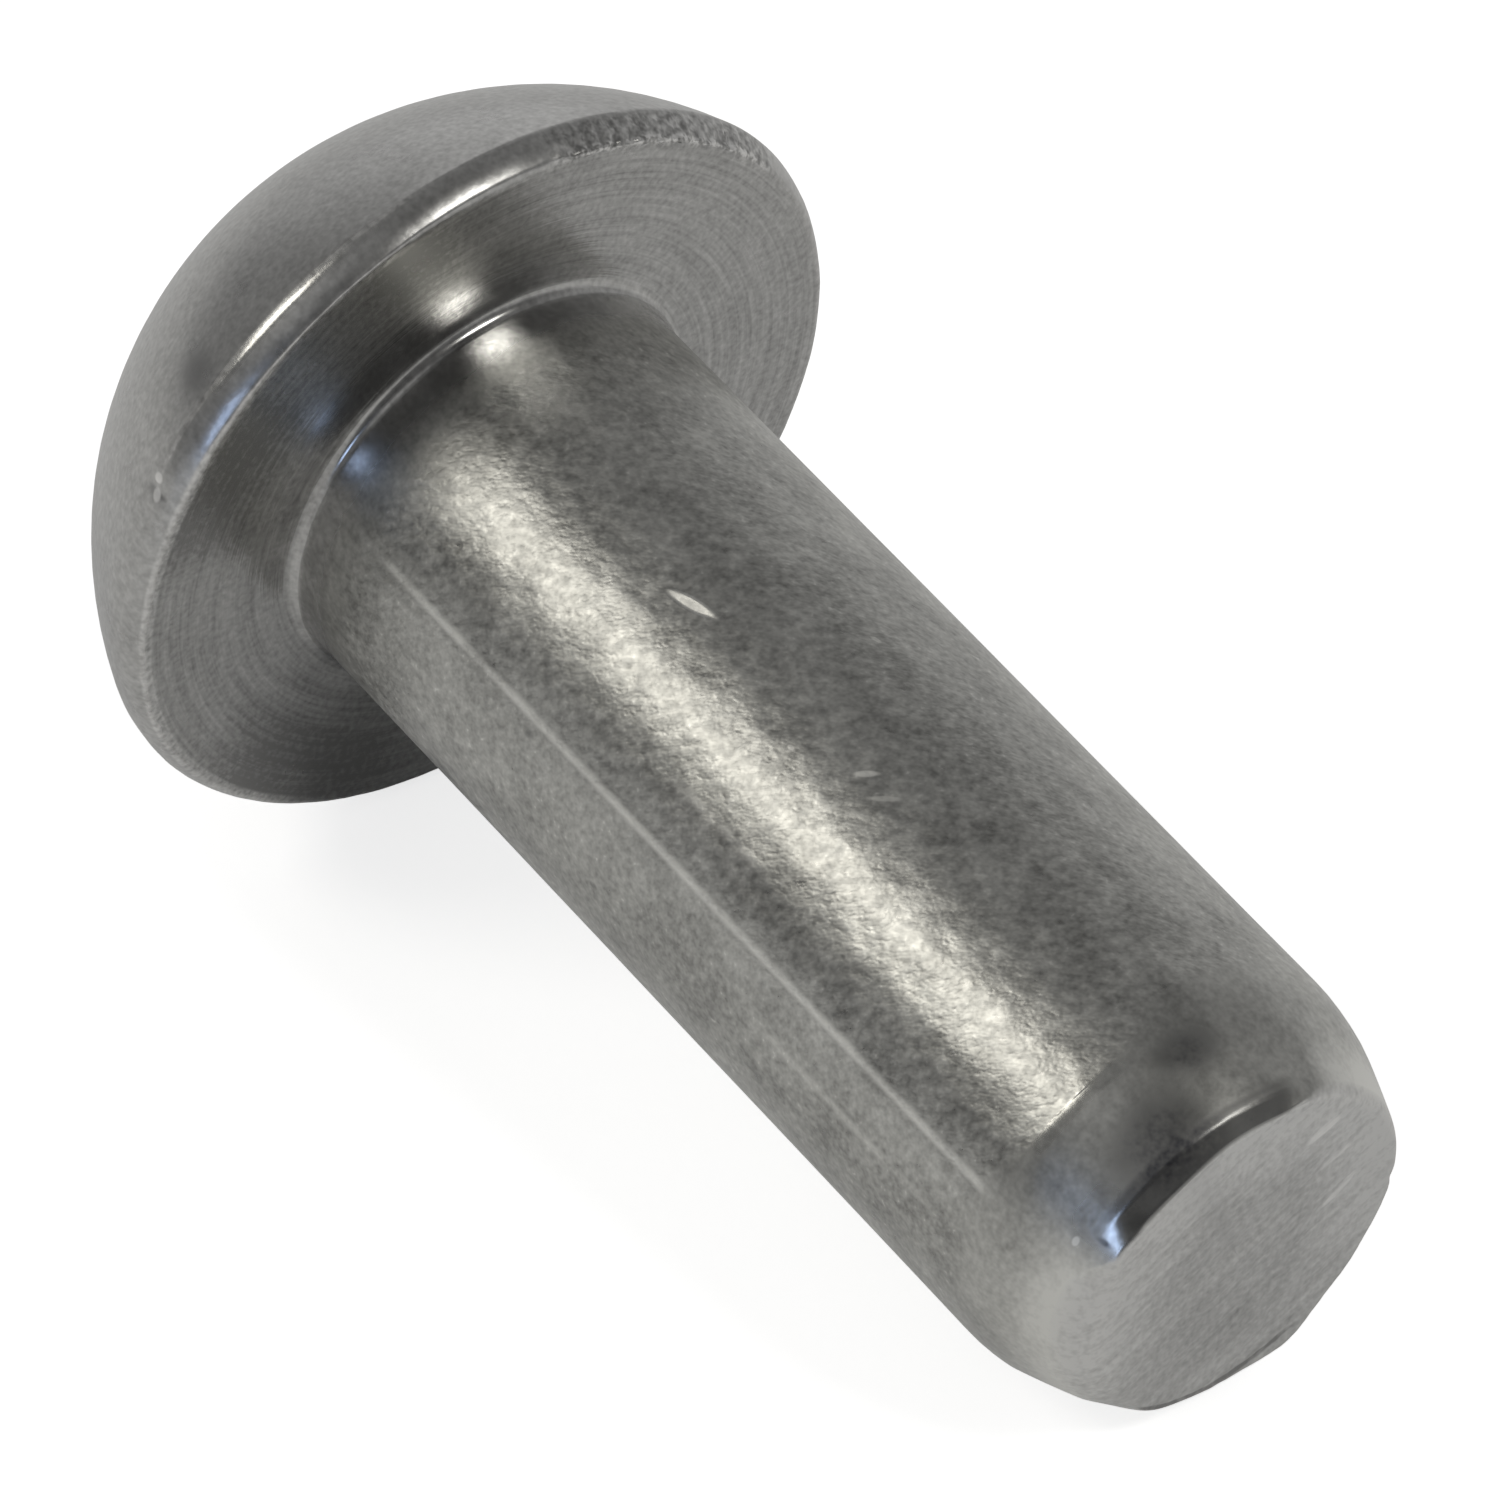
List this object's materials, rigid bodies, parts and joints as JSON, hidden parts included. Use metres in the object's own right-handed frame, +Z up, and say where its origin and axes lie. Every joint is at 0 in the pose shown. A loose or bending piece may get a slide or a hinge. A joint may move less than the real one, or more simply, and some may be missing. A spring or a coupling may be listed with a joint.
{
  "type": "solid rivet",
  "caption": "Solid rivet with a domed button head, a flat bearing face and a plain round shank with a tapered, sheared tail, upset to join plates.",
  "frame": {"origin": "on the ground, under the middle of the rivet's box, with the rivet lying on its rim and on the edge where its tail starts to taper", "axes": "+Z up, +X along the ground from the head toward the tail, so the rivet's own axis lies in the XZ plane and falls toward +X"},
  "size_m": [0.0214, 0.0116, 0.0115],
  "materials": {
    "bare_metal": "bare satin metal: smooth headed dome, turned bearing face, finely pitted drawn shank, torn sheared end"
  },
  "bodies": {
    "root": {"rivet": "bare_metal"}
  },
  "joints": []
}
